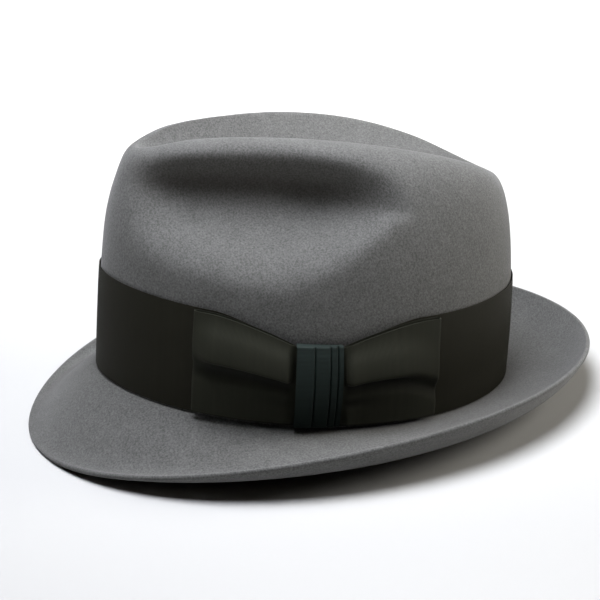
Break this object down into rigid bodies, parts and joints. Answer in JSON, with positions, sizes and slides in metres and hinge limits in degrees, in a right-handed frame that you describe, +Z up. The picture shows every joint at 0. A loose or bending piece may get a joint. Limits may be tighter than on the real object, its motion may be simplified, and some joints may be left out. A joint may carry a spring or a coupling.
{
  "type": "felt trilby hat",
  "caption": "Soft felt hat with a teardrop crease, side pinches, a narrow brim snapped down in front, a wide ribbon band and a flat bow.",
  "frame": {"origin": "on the surface that the hat rests on, under the middle of its bounding box", "axes": "front of the hat to -Y, wearer's left to +X, +Z up"},
  "size_m": [0.268, 0.285, 0.1402],
  "materials": {
    "felt": "brushed grey fur felt",
    "band_ribbon": "dark olive black grosgrain",
    "bow_ribbon": "dark olive black grosgrain",
    "knot_ribbon": "dark green black grosgrain"
  },
  "bodies": {
    "root": {"felt_body": "felt", "ribbon_band": "band_ribbon", "bow": "bow_ribbon", "bow_knot": "knot_ribbon"}
  },
  "joints": []
}
